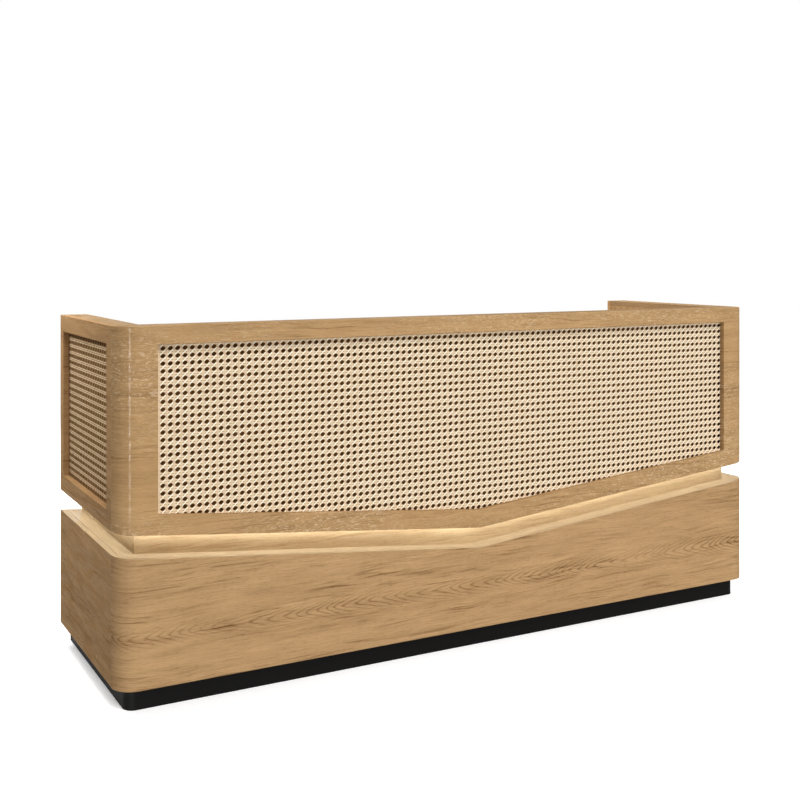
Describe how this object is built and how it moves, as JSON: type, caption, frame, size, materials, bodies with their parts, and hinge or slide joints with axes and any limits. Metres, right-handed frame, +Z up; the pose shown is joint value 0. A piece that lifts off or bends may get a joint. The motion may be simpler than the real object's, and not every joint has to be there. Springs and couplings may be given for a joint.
{
  "type": "reception desk",
  "caption": "Oak reception desk with rounded front corners, cane panels, a lit channel that dips to the middle, a dark plinth, and drawers and a cupboard on the staff side.",
  "frame": {"origin": "on the floor under the middle of the desk's bounding box", "axes": "+X along the front to the right as a visitor sees it, +Y from the front to the staff side, +Z up"},
  "size_m": [2.2, 0.66, 1],
  "materials": {
    "oak": "satin oak veneer, grain level",
    "pale_oak": "satin pale oak veneer",
    "cane": "woven cane webbing",
    "plinth": "black laminate, satin",
    "light": "opal sleeve of a light strip",
    "driver": "plain metal case",
    "black_plastic": "moulded, fine texture",
    "knob": "satin black",
    "steel": "zinc plated"
  },
  "bodies": {
    "desk": {"plinth_front": "plinth", "plinth_left": "plinth", "plinth_right": "plinth", "toe_board_left": "plinth", "toe_board_right": "plinth", "base_left": "oak", "base_front": "oak", "base_right": "oak", "core_front": "oak", "core_left": "oak", "core_right": "oak", "lower_front_skin": "oak", "lower_left_skin": "oak", "lower_right_skin": "oak", "ledge_left": "pale_oak", "ledge_right": "pale_oak", "ledge_front_left": "pale_oak", "ledge_front_right": "pale_oak", "upper_front_skin": "oak", "upper_left_skin": "oak", "upper_right_skin": "oak", "cane_front": "cane", "cane_left": "cane", "cane_right": "cane", "cap_front": "oak", "cap_left": "oak", "cap_right": "oak", "soffit_front": "pale_oak", "soffit_left": "pale_oak", "soffit_right": "pale_oak", "light_strip_front": "light", "light_strip_left": "light", "light_strip_right": "light", "light_driver": "driver", "worktop": "pale_oak", "grommet_ring": "black_plastic", "partition_left": "oak", "partition_right": "oak", "upper_drawer_fixed_rail_left": "steel", "upper_drawer_fixed_rail_right": "steel", "lower_drawer_fixed_rail_left": "steel", "lower_drawer_fixed_rail_right": "steel", "cupboard_shelf": "pale_oak", "lower_hinge_frame_leaf": "steel", "upper_hinge_frame_leaf": "steel"},
    "upper_drawer": {"upper_drawer_box": "pale_oak", "upper_drawer_face": "oak", "upper_drawer_knob": "knob", "upper_drawer_moving_rail_left": "steel", "upper_drawer_moving_rail_right": "steel"},
    "lower_drawer": {"lower_drawer_box": "pale_oak", "lower_drawer_face": "oak", "lower_drawer_knob": "knob", "lower_drawer_moving_rail_left": "steel", "lower_drawer_moving_rail_right": "steel"},
    "cupboard_door": {"cupboard_door": "oak", "cupboard_knob": "knob", "lower_hinge_door_leaf": "steel", "upper_hinge_door_leaf": "steel"},
    "grommet_cap": {"grommet_cap": "black_plastic"}
  },
  "joints": [
    {"name": "upper_drawer_slide", "type": "slide", "parent": "desk", "child": "upper_drawer", "axis": [0, 1, 0], "range_m": [0, 0.34]},
    {"name": "lower_drawer_slide", "type": "slide", "parent": "desk", "child": "lower_drawer", "axis": [0, 1, 0], "range_m": [0, 0.34]},
    {"name": "cupboard_door_hinge", "type": "hinge", "parent": "desk", "child": "cupboard_door", "pos_m": [0.578, 0.281, 0], "axis": [0, 0, 1], "range_deg": [0, 160]},
    {"name": "grommet_cap_turn", "type": "hinge", "parent": "desk", "child": "grommet_cap", "pos_m": [0.34, -0.16, 0.75], "axis": [0, 0, 1], "continuous": true}
  ]
}
